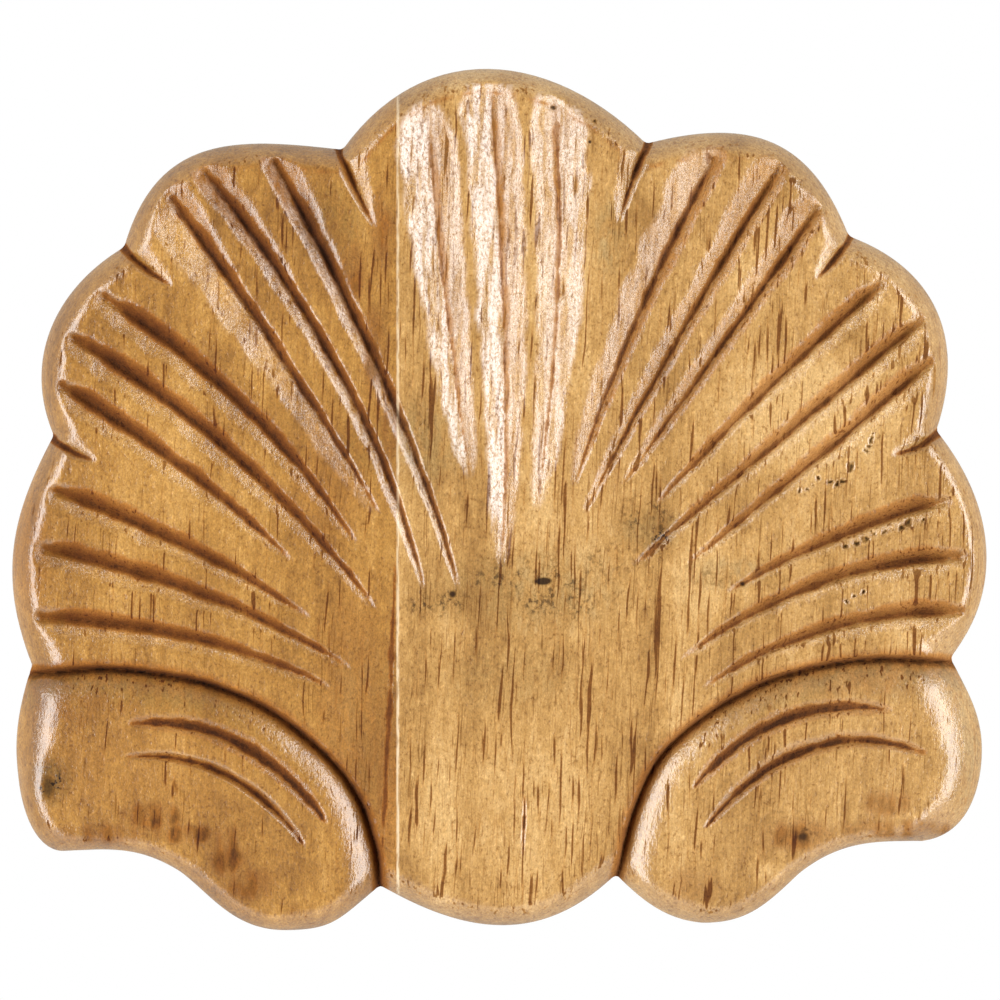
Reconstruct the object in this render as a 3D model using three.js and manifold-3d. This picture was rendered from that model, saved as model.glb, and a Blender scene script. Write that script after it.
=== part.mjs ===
// A carved shell ornament of honey-stained hardwood: seven fluted lobes over two scrolls and a foot.
// It is cut from two boards glued edge to edge, and its flat back is fixed to furniture or a wall.
// X runs to the right and Z up. The back lies in the plane Y = 0 and the carved face looks to -Y.

import * as THREE from "three";
import { mergeVertices } from "three/addons/utils/BufferGeometryUtils.js";
import Module from "manifold-3d";

// Driving sizes, in millimetres
const WIDTH = 80;
const HEIGHT = 70.7;
const THICKNESS = 12.7; // from the back to the crown of the face
const CROWN_DROP = 1.4; // how much the face falls from its crown to a point CROWN_REACH away
const CROWN_REACH = 40;
const RIM_WIDTH = 2; // the sloping band between the carved face and the upright wall
const RIM_DROP = 2.4; // how far below the face that wall ends
const GLUE_LINE_X = -8.3; // where the left board meets the right board
const FLUTE_DEPTH = 1.25;
const NICK_DEPTH = 1.7;
const NICK_WIDTH = 2.4;
const CHANNEL_DEPTH = 2; // the dark line that parts a scroll from the shell
const CHANNEL_WIDTH = 2;
const SHOULDER_DEPTH = 0.9; // the broad easing on both sides of that line
const SHOULDER_WIDTH = 4.6;
const SCROLL_LINE_DEPTH = 0.9;

// How finely the curves are divided
const OUTLINE_STEPS = 12; // points on each curve of the outline
const GOUGE_STEPS = 12; // steps along each cut
const CROWN_SIDES = 24; // sides of the low dome that the face is cut to
const CROWN_RINGS = 4;
const WELD = 1e-4; // points closer than this are one point
const RIM_RINGS = [[0, 1], [0.3, 0.5], [1.3, -0.2]]; // share of the rim's width, share of its drop
const TIGHTER = 0.9; // the rim narrows by this share at a time in a tight notch

// Room that the cuts keep above the wood
const CLEARANCE = 1;
const RUN_OUT = 0.08; // how high above the face the bottom of a cut ends

// How each kind of cut enters and leaves the wood
const FLUTE_ENTRY = 0.08; // share of a flute's length in which it reaches its full depth
const FLUTE_FADE = 0.7; // the lower this power, the longer a cut stays wide
const NICK_FADE = 0.8;
const LINE_FADE = 0.6;

// The outline as drawn on the face at true size, [x, z]. It starts in the notch at the upper left
// and goes round to the right. Each curve gives its two handles and its end.
const OUTLINE_START = [-12.9, 28.8];
const OUTLINE_CURVES = [
  [[-6.3, 38.1], [4.2, 37.1], [12.1, 29.3]], // top lobe
  [[20.9, 31.6], [25.7, 29.7], [28.8, 21.7]], // right upper lobe
  [[36.2, 19.0], [38.5, 13.0], [36.0, 5.7]], // right middle lobe
  [[40.7, -0.1], [41.8, -7.1], [37.2, -13.0]], // right lower lobe
  [[38.4, -15.5], [39.8, -17.4], [39.8, -20.6]], // right scroll, outer side
  [[39.8, -21.3], [39.8, -27.5], [34.9, -28.1]], // its outer corner
  [[30.8, -28.0], [28.0, -28.1], [24.7, -30.7]], // the hollow below it
  [[22.1, -33.2], [20.5, -34.8], [16.8, -34.8]], // the curl that turns in
  [[13.7, -34.6], [11.7, -32.9], [9.6, -30.8]],
  [[3.4, -36.8], [-2.9, -35.7], [-9.8, -31.7]], // foot
  [[-13.2, -34.5], [-13.6, -35.4], [-17.6, -35.4]], // left scroll, the curl that turns in
  [[-21.8, -35.4], [-23.6, -32.6], [-26.2, -30.6]],
  [[-29.7, -28.4], [-32.1, -28.7], [-35.9, -28.9]], // the hollow
  [[-37.3, -29.0], [-39.5, -27.4], [-39.8, -21.0]], // its outer corner
  [[-39.9, -18.3], [-39.2, -15.7], [-38.5, -13.6]], // its outer side
  [[-41.4, -6.2], [-40.2, -1.2], [-36.7, 5.3]], // left lower lobe
  [[-39.4, 11.6], [-36.5, 17.5], [-30.9, 20.8]], // left middle lobe
  [[-28.2, 30.3], [-21.5, 29.8], [-12.9, 28.8]], // left upper lobe
];

// Each flute runs from its rim end, by way of a bend, to its tip near the heart of the shell.
const FLUTES = {
  leftUpper: [
    { rim: [-26.9, 24.7], bend: [-17.4, 11.8], tip: [-9.8, -1.3], width: 3.0 },
    { rim: [-24.2, 26.8], bend: [-10.6, 10.3], tip: [-6.1, -7.6], width: 3.8 },
    { rim: [-18.5, 27.7], bend: [-8.0, 9.3], tip: [-3.3, -7.4], width: 3.6 },
  ],
  leftMiddle: [
    { rim: [-32.2, 16.8], bend: [-19.8, 9.1], tip: [-11.5, -3.4], width: 3.2 },
    { rim: [-34.8, 13.5], bend: [-20.4, 5.1], tip: [-9.9, -8.8], width: 3.8 },
    { rim: [-35.8, 9.6], bend: [-25.3, 3.4], tip: [-16.8, -4.8], width: 2.8 },
  ],
  leftLower: [
    { rim: [-36.2, 0.9], bend: [-25.6, -2.7], tip: [-15.4, -9.4], width: 3.0 },
    { rim: [-37.3, -3.8], bend: [-23.2, -6.6], tip: [-12.0, -13.6], width: 3.8 },
    { rim: [-37.6, -9.4], bend: [-24.8, -9.9], tip: [-13.7, -15.1], width: 3.2 },
  ],
  top: [
    { rim: [-5.8, 30.5], bend: [-4.5, 15.4], tip: [-2.4, 1.6], width: 4.4 },
    { rim: [-0.7, 33.2], bend: [1.1, 12.0], tip: [0.2, -5.7], width: 4.4 },
    { rim: [4.6, 32.1], bend: [5.8, 16.7], tip: [3.0, -1.0], width: 4.4 },
  ],
  rightUpper: [
    { rim: [17.5, 27.4], bend: [11.0, 15.6], tip: [6.1, 1.1], width: 4.0 },
    { rim: [22.8, 26.7], bend: [14.5, 13.4], tip: [6.9, -1.2], width: 4.0 },
    { rim: [26.2, 23.7], bend: [18.1, 12.1], tip: [10.1, 1.2], width: 3.4 },
  ],
  rightMiddle: [
    { rim: [31.1, 17.8], bend: [22.0, 9.7], tip: [12.7, -0.2], width: 3.6 },
    { rim: [34.7, 15.0], bend: [23.4, 5.6], tip: [10.8, -5.3], width: 3.6 },
    { rim: [35.3, 11.5], bend: [25.7, 3.2], tip: [15.3, -5.1], width: 3.2 },
  ],
  rightLower: [
    { rim: [36.5, 0.0], bend: [28.2, -1.9], tip: [18.6, -7.4], width: 3.0 },
    { rim: [37.8, -4.5], bend: [25.2, -5.0], tip: [14.7, -13.1], width: 3.4 },
    { rim: [38.0, -9.1], bend: [26.8, -8.6], tip: [16.7, -15.2], width: 3.2 },
  ],
};

// A short nick starts outside each notch between two lobes and dies out on the face.
const NICKS = [
  { rim: [-13.6, 29.9], bend: [-12.1, 25.9], tip: [-10.2, 22.2] },
  { rim: [-31.6, 21.6], bend: [-29.5, 18.9], tip: [-26.9, 17.6] },
  { rim: [-37.6, 6.0], bend: [-35.6, 3.8], tip: [-33.2, 3.2] },
  { rim: [12.6, 30.3], bend: [10.9, 26.6], tip: [9.8, 22.6] },
  { rim: [29.5, 22.6], bend: [27.8, 19.8], tip: [26.0, 18.0] },
  { rim: [37.0, 6.3], bend: [34.9, 4.2], tip: [32.3, 3.7] },
];

// Points that each channel passes, from the notch at the side of the shell to the one beside the foot
const CHANNELS = {
  left: [
    [-39.6, -14.4],
    [-31.9, -13.9],
    [-24.5, -15.0],
    [-18.4, -17.6],
    [-12.6, -22.8],
    [-10.2, -28.3],
    [-9.8, -32.8],
  ],
  right: [
    [38.6, -13.5],
    [31.2, -13.1],
    [24.7, -14.1],
    [18.5, -16.7],
    [13.3, -21.1],
    [10.8, -26.3],
    [9.6, -31.8],
  ],
};

// Two thin lines on each scroll follow its curl and are pointed at both ends.
const SCROLL_LINES = [
  { rim: [-30.6, -18.4], bend: [-20.5, -17.6], tip: [-14.2, -26.6], width: 1.7 },
  { rim: [-30.8, -21.1], bend: [-21.7, -20.3], tip: [-16.0, -28.4], width: 0.9 },
  { rim: [32.4, -17.3], bend: [22.6, -15.8], tip: [15.9, -23.7], width: 1.6 },
  { rim: [35.3, -20.9], bend: [25.0, -17.0], tip: [16.9, -27.0], width: 1.3 },
];

const wasm = await Module();
wasm.setup();

// A closed three.js geometry as a solid that can be cut, without the triangles that a pole closes up
function solidOf(geometry) {
  const loose = geometry.clone();
  loose.deleteAttribute("normal");
  loose.deleteAttribute("uv");
  const merged = mergeVertices(loose, WELD);
  const corners = merged.index.array;
  const kept = [];
  for (let i = 0; i < corners.length; i += 3) {
    const [a, b, c] = corners.slice(i, i + 3);
    if (a !== b && b !== c && c !== a) {
      kept.push(a, b, c);
    }
  }
  return new wasm.Manifold(
    new wasm.Mesh({
      numProp: 3,
      vertProperties: merged.attributes.position.array,
      triVerts: new Uint32Array(kept),
    }),
  );
}

// The mesh of a finished solid
function meshOf(solid, name, material) {
  const { vertProperties, triVerts } = solid.getMesh();
  const geometry = new THREE.BufferGeometry();
  geometry.setAttribute("position", new THREE.BufferAttribute(new Float32Array(vertProperties), 3));
  geometry.setIndex(new THREE.BufferAttribute(new Uint32Array(triVerts), 1));
  geometry.computeVertexNormals();
  const mesh = new THREE.Mesh(geometry, material);
  mesh.name = name;
  return mesh;
}

// A closed geometry through a row of rings with equal numbers of points. ends closes the first and
// the last ring with the same triangles.
function loft(rings, ends) {
  const count = rings[0].length;
  const last = (rings.length - 1) * count;
  const index = [];
  for (let ring = 0; ring + 1 < rings.length; ring++) {
    for (let i = 0; i < count; i++) {
      const a = ring * count + i;
      const b = ring * count + ((i + 1) % count);
      index.push(a, b, b + count, a, b + count, a + count);
    }
  }
  for (const [a, b, c] of ends) {
    index.push(a, c, b, last + a, last + b, last + c);
  }
  return new THREE.BufferGeometry().setFromPoints(rings.flat()).setIndex(index);
}

// The outline as drawn, and the stretch that gives it the driving width and height
const drawn = new THREE.Path().moveTo(...OUTLINE_START);
for (const [first, second, end] of OUTLINE_CURVES) {
  drawn.bezierCurveTo(...first, ...second, ...end);
}
const drawnPoints = drawn.getPoints(OUTLINE_STEPS).slice(0, -1);
const drawnBox = new THREE.Box2().setFromPoints(drawnPoints);
const drawnSize = drawnBox.getSize(new THREE.Vector2());
const drawnCentre = drawnBox.getCenter(new THREE.Vector2());
const stretch = new THREE.Vector2(WIDTH, HEIGHT).divide(drawnSize);

function placed([x, z]) {
  return new THREE.Vector2(x, z).sub(drawnCentre).multiply(stretch);
}

// The drawing goes round clockwise, and the rings of a solid go round the other way
const outline = drawnPoints.map((point) => placed(point.toArray())).reverse();

// Height of the uncut face above the back, at a point of the plan
function faceHeight(point) {
  return THICKNESS - CROWN_DROP * (point.lengthSq() / CROWN_REACH ** 2);
}

// A plan point at a height above the back
function raised(point, height) {
  return new THREE.Vector3(point.x, -height, point.y);
}

// The direction into the wood, square to the outline, at each of its points
const inward = outline.map((_, i) => {
  const before = outline.at(i - 1);
  const after = outline[(i + 1) % outline.length];
  const along = after.clone().sub(before).normalize();
  return new THREE.Vector2(-along.y, along.x);
});

// The rim's inner edge. The rim narrows where the outline turns too tightly to hold its full width.
const rimInner = outline.map((point, i) => {
  let width = RIM_WIDTH;
  let inner = point.clone().addScaledVector(inward[i], width);
  while (outline.some((other) => other.distanceTo(inner) < TIGHTER * width)) {
    width *= TIGHTER;
    inner = point.clone().addScaledVector(inward[i], width);
  }
  return inner;
});

// Everything behind the crowned face, as a solid wider than the ornament
function makeCrown() {
  const reach = Math.hypot(WIDTH, HEIGHT);
  const profile = [];
  for (let ring = 0; ring <= CROWN_RINGS; ring++) {
    const radius = (reach / 2 / (CROWN_RINGS - 1)) * ring;
    profile.push(new THREE.Vector2(radius, -faceHeight(new THREE.Vector2(radius, 0))));
  }
  profile.push(new THREE.Vector2(profile.at(-1).x, CLEARANCE), new THREE.Vector2(0, CLEARANCE));
  return solidOf(new THREE.LatheGeometry(profile, CROWN_SIDES));
}

// The blank: an upright wall on the outline, then two facets of the rim that rise past the face,
// all cut off by the crown
function makeBlank() {
  const rimRing = (across, left) =>
    outline.map((point, i) =>
      raised(point.clone().lerp(rimInner[i], across), faceHeight(rimInner[i]) - RIM_DROP * left),
    );
  const back = outline.map((point) => raised(point, 0));
  const rim = RIM_RINGS.map(([across, left]) => rimRing(across, left));
  const lid = rim.at(-1).map((point) => new THREE.Vector3(point.x, -THICKNESS - CLEARANCE, point.z));
  const ends = THREE.ShapeUtils.triangulateShape(outline, []);
  return solidOf(loft([back, ...rim, lid], ends)).intersect(makeCrown());
}

// The chip that a V-shaped gouge takes out along a curve of the plan. bite gives the share of the
// full depth at each place along the curve, so that the cut narrows as it rises out of the wood.
function chip(curve, width, depth, bite) {
  const rings = [];
  for (let i = 0; i <= GOUGE_STEPS; i++) {
    const share = i / GOUGE_STEPS;
    const at = curve.getPoint(share);
    const along = curve.getTangent(share);
    const across = new THREE.Vector2(-along.y, along.x);
    const sunk = depth * bite(share) - RUN_OUT;
    const half = (width / 2) * ((sunk + CLEARANCE) / depth);
    const height = faceHeight(at);
    rings.push([
      raised(at.clone().addScaledVector(across, -half), height + CLEARANCE),
      raised(at, height - sunk),
      raised(at.clone().addScaledVector(across, half), height + CLEARANCE),
    ]);
  }
  return solidOf(loft(rings, [[0, 1, 2]]));
}

function bentLine({ rim, bend, tip }) {
  return new THREE.QuadraticBezierCurve(placed(rim), placed(bend), placed(tip));
}

// The share of its full depth that each kind of cut has, from its start at 0 to its end at 1
const fluteBite = (share) => Math.min(1, share / FLUTE_ENTRY) * (1 - share) ** FLUTE_FADE;
const nickBite = (share) => (1 - share) ** NICK_FADE;
const channelBite = () => 1;
const lineBite = (share) => Math.sin(Math.PI * share) ** LINE_FADE;

let carved = makeBlank();
for (const lobe of Object.values(FLUTES)) {
  for (const flute of lobe) {
    carved = carved.subtract(chip(bentLine(flute), flute.width, FLUTE_DEPTH, fluteBite));
  }
}
for (const nick of NICKS) {
  carved = carved.subtract(chip(bentLine(nick), NICK_WIDTH, NICK_DEPTH, nickBite));
}
for (const points of Object.values(CHANNELS)) {
  const route = new THREE.SplineCurve(points.map(placed));
  carved = carved.subtract(chip(route, SHOULDER_WIDTH, SHOULDER_DEPTH, channelBite));
  carved = carved.subtract(chip(route, CHANNEL_WIDTH, CHANNEL_DEPTH, channelBite));
}
for (const line of SCROLL_LINES) {
  carved = carved.subtract(chip(bentLine(line), line.width, SCROLL_LINE_DEPTH, lineBite));
}

// A block that holds everything on one side of the glue line: side is -1 for left, 1 for right
function boardSpace(side) {
  const reach = 2 * WIDTH;
  const block = new THREE.BoxGeometry(reach, reach, 2 * HEIGHT);
  block.translate(GLUE_LINE_X + (side * reach) / 2, 0, 0);
  return solidOf(block);
}

const leftWood = new THREE.MeshStandardMaterial({ color: 0xb98a4b, roughness: 0.45, metalness: 0 });
const rightWood = new THREE.MeshStandardMaterial({ color: 0xc99a5c, roughness: 0.42, metalness: 0 });

const ornament = new THREE.Group();
ornament.add(meshOf(carved.intersect(boardSpace(-1)), "left_board", leftWood));
ornament.add(meshOf(carved.intersect(boardSpace(1)), "right_board", rightWood));

export default ornament;
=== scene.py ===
# %% [markdown]
# # A carved shell ornament in Blender
#
# The object is a small flat-backed ornament of hardwood, about 80 mm wide: a scallop shell of seven
# fluted lobes over two scrolls and a foot. It was glued up from two boards, carved by hand with a
# V-shaped gouge, stained honey brown, rubbed with a dark glaze that stayed in the cuts, and lacquered.
# This lesson follows the carver. It saws the outline, gives the blank a fine skin, carves that skin,
# parts it at the glue line, and then makes the wood and its finish.
#
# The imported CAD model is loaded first. It fixes the real size and place of both boards.

# %% Load the frame
import math

import bmesh
import bpy
import numpy as np
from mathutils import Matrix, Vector, noise


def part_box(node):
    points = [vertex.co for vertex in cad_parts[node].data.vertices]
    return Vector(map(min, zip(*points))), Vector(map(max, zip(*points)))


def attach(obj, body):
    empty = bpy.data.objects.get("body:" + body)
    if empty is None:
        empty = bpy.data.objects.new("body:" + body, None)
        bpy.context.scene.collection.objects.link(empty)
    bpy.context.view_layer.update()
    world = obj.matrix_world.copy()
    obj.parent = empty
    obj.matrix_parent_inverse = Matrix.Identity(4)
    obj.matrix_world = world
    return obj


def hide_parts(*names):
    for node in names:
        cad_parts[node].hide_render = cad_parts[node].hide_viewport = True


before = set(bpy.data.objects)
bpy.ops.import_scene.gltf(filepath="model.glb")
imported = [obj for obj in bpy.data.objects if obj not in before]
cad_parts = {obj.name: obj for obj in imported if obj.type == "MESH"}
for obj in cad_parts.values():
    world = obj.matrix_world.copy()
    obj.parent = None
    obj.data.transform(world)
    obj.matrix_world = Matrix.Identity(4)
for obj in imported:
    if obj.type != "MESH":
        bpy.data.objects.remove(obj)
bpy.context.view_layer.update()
left_low, left_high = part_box("left_board")
right_low, right_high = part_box("right_board")

# %% [markdown]
# ## Working in millimetres
#
# A carver thinks in tenths of a millimetre. The shape is worked out in millimetres, as plan
# coordinates (x to the right, z up) and a height above the flat back, and is made metres at the end.
# The sizes that the CAD model already has are read from it and not typed again.

# %% Sizes
MM = 0.001

WIDTH = (right_high.x - left_low.x) / MM
HEIGHT = (max(left_high.z, right_high.z) - min(left_low.z, right_low.z)) / MM
THICKNESS = -min(left_low.y, right_low.y) / MM
GLUE_LINE = left_high.x / MM

CROWN_DROP = 1.4  # how far the face falls from its middle to a point CROWN_REACH away
CROWN_REACH = 40
RIM_DROP = 2.4  # how far below the face the upright wall of a lobe ends

print(f"{WIDTH:.1f} wide, {HEIGHT:.1f} high, {THICKNESS:.1f} thick, glue line at {GLUE_LINE:.1f}")

# %% [markdown]
# ## The outline
#
# On the real ornament a bandsaw cut the outline: seven round lobes, two scrolls and a foot, with a
# sharp notch between each pair. It could be drawn point by point, but a few Bezier curves say the
# same and stay smooth at any fineness. Each row is one curve: two handles, its end, how wide the
# sloping rim is there, and how soft that rim is, from 0 for a crisp edge to 1 for a round shoulder.

# %% Outline
OUTLINE_START = (-12.9, 28.8)
OUTLINE = [
    ((-6.3, 38.1), (4.2, 37.1), (12.1, 29.3), 2.0, 0.2),  # top lobe
    ((20.9, 31.6), (25.7, 29.7), (28.8, 21.7), 2.0, 0.2),  # right upper lobe
    ((36.2, 19.0), (38.5, 13.0), (36.0, 5.7), 2.0, 0.1),  # right middle lobe
    ((40.7, -0.1), (41.8, -7.1), (37.2, -13.0), 1.5, 0.1),  # right lower lobe
    ((38.4, -15.5), (39.8, -17.4), (39.8, -20.6), 4.4, 1.0),  # right scroll, outer side
    ((39.8, -21.3), (39.8, -27.5), (34.9, -28.1), 3.4, 0.9),  # its outer corner
    ((30.8, -28.0), (28.0, -28.1), (24.7, -30.7), 1.0, 0.3),  # the hollow below it
    ((22.1, -33.2), (20.5, -34.8), (16.8, -34.8), 1.3, 0.4),  # the curl that turns in
    ((13.7, -34.6), (11.7, -32.9), (9.6, -30.8), 1.8, 0.7),
    ((3.4, -36.8), (-2.9, -35.7), (-9.8, -31.7), 1.7, 0.5),  # foot
    ((-13.2, -34.5), (-13.6, -35.4), (-17.6, -35.4), 1.6, 0.6),  # left scroll, the curl
    ((-21.8, -35.4), (-23.6, -32.6), (-26.2, -30.6), 1.2, 0.3),
    ((-29.7, -28.4), (-32.1, -28.7), (-35.9, -28.9), 1.1, 0.2),  # the hollow
    ((-37.3, -29.0), (-39.5, -27.4), (-39.8, -21.0), 1.8, 0.6),  # its outer corner
    ((-39.9, -18.3), (-39.2, -15.7), (-38.5, -13.6), 3.8, 1.0),  # its outer side
    ((-41.4, -6.2), (-40.2, -1.2), (-36.7, 5.3), 2.0, 0.1),  # left lower lobe
    ((-39.4, 11.6), (-36.5, 17.5), (-30.9, 20.8), 2.0, 0.1),  # left middle lobe
    ((-28.2, 30.3), (-21.5, 29.8), (-12.9, 28.8), 2.0, 0.2),  # left upper lobe
]
STEPS_A_CURVE = 28


def bezier(points, steps):
    """Points along a Bezier curve of any degree, its end left out."""
    t = np.arange(steps)[:, None] / steps
    degree = len(points) - 1
    terms = [
        math.comb(degree, i) * (1 - t) ** (degree - i) * t**i * np.array(p)
        for i, p in enumerate(points)
    ]
    return sum(terms)


def drawn_outline():
    start = OUTLINE_START
    stretches = []
    for first, second, end, _, _ in OUTLINE:
        stretches.append(bezier([start, first, second, end], STEPS_A_CURVE))
        start = end
    return np.concatenate(stretches)


drawing = drawn_outline()
drawn_low, drawn_high = drawing.min(0), drawing.max(0)


def placed(points):
    """Drawn plan points, moved and stretched so that the outline has the CAD model's size."""
    centred = np.array(points, float) - (drawn_low + drawn_high) / 2
    return centred * [WIDTH, HEIGHT] / (drawn_high - drawn_low)


outline = placed(drawing)
print(len(outline), "points on the outline")

# %% [markdown]
# ## A blank with a fine skin
#
# Carving needs a surface of many small, even faces. Subdividing a many-sided face gives a fan of
# slivers that crease wherever they are moved. A voxel remesh of the sawn blank gives an even skin of
# tiny squares instead, as it does at the start of a sculpt. Only the front of that skin is kept. The
# wall and the back need no fineness, so they are added afterwards.
#
# The blank is modelled one unit to the millimetre, because a voxel may not be much under 0.1 mm.

# %% Saw and skin the blank
VOXEL = 0.23
SLAB = 2.0  # thickness of the slab that is remeshed, and kept down to half of that


def mesh_of(bm, name):
    mesh = bpy.data.meshes.new(name)
    bm.to_mesh(mesh)
    bm.free()
    return mesh


def in_scene(name, data):
    made = bpy.data.objects.new(name, data)
    bpy.context.scene.collection.objects.link(made)
    return made


def sawn(bm, place, off, **how):
    """Cut through at a place, and throw away what lies on the side that off points to."""
    geom = bm.verts[:] + bm.edges[:] + bm.faces[:]
    return bmesh.ops.bisect_plane(bm, geom=geom, plane_co=place, plane_no=off, clear_outer=True, **how)


def extruded_outline(bm, depth):
    ring = [bm.verts.new((x, 0, z)) for x, z in outline]
    face = bm.faces.new(ring)
    made = bmesh.ops.extrude_face_region(bm, geom=[face])
    moved = [g for g in made["geom"] if isinstance(g, bmesh.types.BMVert)]
    bmesh.ops.translate(bm, verts=moved, vec=(0, -depth, 0))
    bmesh.ops.recalc_face_normals(bm, faces=bm.faces[:])


def voxel_skin():
    bm = bmesh.new()
    extruded_outline(bm, SLAB)
    slab = in_scene("slab", mesh_of(bm, "slab"))
    remesh = slab.modifiers.new("skin", "REMESH")
    remesh.mode = "VOXEL"
    remesh.voxel_size = VOXEL
    remesh.adaptivity = 0
    depsgraph = bpy.context.evaluated_depsgraph_get()
    skin = bpy.data.meshes.new_from_object(slab.evaluated_get(depsgraph))
    bpy.data.objects.remove(slab)
    return skin


def front_of(skin):
    """The skin as a bmesh, with everything below half of the slab cut away."""
    bm = bmesh.new()
    bm.from_mesh(skin)
    bpy.data.meshes.remove(skin)
    sawn(bm, (0, -SLAB / 2, 0), (0, 1, 0))
    return bm


blank = front_of(voxel_skin())
print(len(blank.faces), "faces on the front of the blank")

# %% [markdown]
# ## The plan of the carving
#
# The carver drew three flutes on each lobe, fanning out from the heart of the shell, a nick in each
# notch, a channel that sets off each scroll, and two thin lines on each scroll. Every cut follows a
# gently bent line, so three points are enough for it. A flute is given by its end at the rim, the
# point that it bends towards, and its tip.
#
# A gouge is seldom held upright, so the two walls of a flute differ. `inner` is the width of the wall
# on the side of the shell's centre line and `outer` that of the other one. `steep` says for both how
# much of the depth lies in the narrow bottom, the rest being an easy slope. The easy slopes catch the
# studio lights. `step` is the share that falls in a soft step at the top of the wall, and `flare`
# widens the inner wall near the rim. At its very end a flute has the share `wide` of its depth, and
# `entry` millimetres further on it has all of it. `shift` moves the flute to its outer side.
#
# The glaze lies as a band on the wall `band_on` (1 inner, -1 outer), from `edge` at its border to `dark` at
# the bottom. It spills over the bottom by `spill`, where it ends softly. `core` is the half width of the
# darkest line and `deep` its glaze. `wash` is a thin glaze on both walls, `dim` a further one on the outer
# wall near the rim, and `pale` says how much pale pinkish tint is painted on them, a painted sheen that
# stands in for the lights' shine on the walls. A setting that a flute leaves out comes from PLAIN_CUT.

# %% Flutes
FLUTE_DEPTH = 1.25
PLAIN_CUT = dict(step=(0, 0), wash=(0, 0), pale=(0, 0), dim=0, flare=0, shift=0, band_on=1, entry=1.6)
LEFT_UPPER = dict(inner=0.72, flare=1.3, wide=0.85, edge=0.3, dark=0.88, core=0.26, deep=0.96,
                  wash=(0.18, 0))
LEFT_LOWER = dict(inner=0.85, shift=0.3, entry=2.6, core=0.26, wash=(0.14, 0))
TOP = dict(wide=0.7, spill=0.25, core=0.16)
RIGHT_UPPER = dict(outer=1.1, wide=0.75, core=0.24)
RIGHT_LOWER = dict(inner=0.95, outer=1.9, steep=(0.25, 0.6), entry=2.2, wide=0.6, band=1.4, core=0.3,
                   deep=0.72, wash=(0.12, 0))
FLUTES = {
    "left upper, first": dict(
        LEFT_UPPER, outer=3.1, steep=(0.35, 0.4), step=(0, 0.38), band=1.0, spill=0.7, pale=(0, 0.08),
        lines=[((-26.9, 24.7), (-17.4, 11.8), (-9.8, -1.3))]),
    "left upper": dict(
        LEFT_UPPER, outer=1.2, steep=(0.35, 0.35), step=(0, 0.2), band=0.95, spill=0.65, pale=(0, 0.2),
        dim=0.24,
        lines=[((-24.2, 26.8), (-10.6, 10.3), (-6.1, -7.6)),
               ((-18.5, 27.7), (-8.0, 9.3), (-3.3, -7.4))]),
    "left middle": dict(
        LEFT_LOWER, outer=2.0, steep=(0.2, 0.35), step=(0, 0.15), wide=0.6, band=1.3, spill=1.0,
        edge=0.28, dark=0.9, deep=0.92,
        lines=[((-32.2, 16.8), (-19.8, 9.1), (-11.5, -3.4)),
               ((-34.8, 13.5), (-20.4, 5.1), (-9.9, -8.8)),
               ((-35.8, 9.6), (-25.3, 3.4), (-16.8, -4.8))]),
    "left lower": dict(
        LEFT_LOWER, outer=1.8, steep=(0.2, 0.4), step=(0, 0.1), wide=0.75, band=1.35, spill=0.9,
        edge=0.26, dark=0.8, deep=0.84,
        lines=[((-36.2, 0.9), (-25.6, -2.7), (-15.4, -9.4)),
               ((-37.3, -3.8), (-23.2, -6.6), (-12.0, -13.6)),
               ((-37.6, -9.4), (-24.8, -9.9), (-13.7, -15.1))]),
    "top": dict(
        TOP, inner=2.7, outer=2.4, steep=(0.05, 0.1), band=0.8, band_on=-1, edge=0.2, dark=0.36,
        deep=0.56, wash=(0, 0.08), pale=(0.62, 0.34),
        lines=[((-5.9, 30.7), (-4.5, 15.4), (-2.4, 1.6)),
               ((-0.7, 33.5), (1.1, 12.0), (0.2, -5.7))]),
    "top, last": dict(
        TOP, inner=2.3, outer=2.6, steep=(0.1, 0.05), band=0.6, edge=0.22, dark=0.4, deep=0.62,
        wash=(0.05, 0.03), pale=(0.34, 0.42),
        lines=[((4.6, 32.4), (5.8, 16.7), (3.0, -1.0))]),
    "right upper": dict(
        RIGHT_UPPER, inner=2.6, steep=(0.15, 0.5), band=0.65, spill=0.55, edge=0.25, dark=0.74,
        deep=0.84, wash=(0.12, 0.26), pale=(0.15, 0),
        lines=[((17.7, 27.9), (11.0, 15.6), (6.1, 1.1))]),
    "right upper, last": dict(
        RIGHT_UPPER, inner=1.7, steep=(0.3, 0.5), flare=0.4, band=0.7, spill=0.5, edge=0.28, dark=0.7,
        deep=0.82, wash=(0.16, 0.2),
        lines=[((23.0, 27.1), (14.5, 13.4), (6.9, -1.2)),
               ((26.3, 23.9), (18.1, 12.1), (10.1, 1.2))]),
    "right middle": dict(
        RIGHT_LOWER, shift=0.25, spill=0.6, edge=0.22, dark=0.5,
        lines=[((31.1, 17.8), (22.0, 9.7), (12.7, -0.2)),
               ((34.7, 15.0), (23.4, 5.6), (10.8, -5.3)),
               ((35.3, 11.5), (25.7, 3.2), (15.3, -5.1))]),
    "right lower": dict(
        RIGHT_LOWER, shift=0.2, spill=0.55, edge=0.28, dark=0.54,
        lines=[((36.5, 0.0), (28.2, -1.9), (18.6, -7.4)),
               ((37.8, -4.5), (25.2, -5.0), (14.7, -13.1)),
               ((38.0, -9.1), (26.8, -8.6), (16.7, -15.2))]),
}
print(sum(len(lobe["lines"]) for lobe in FLUTES.values()), "flutes")

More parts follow.
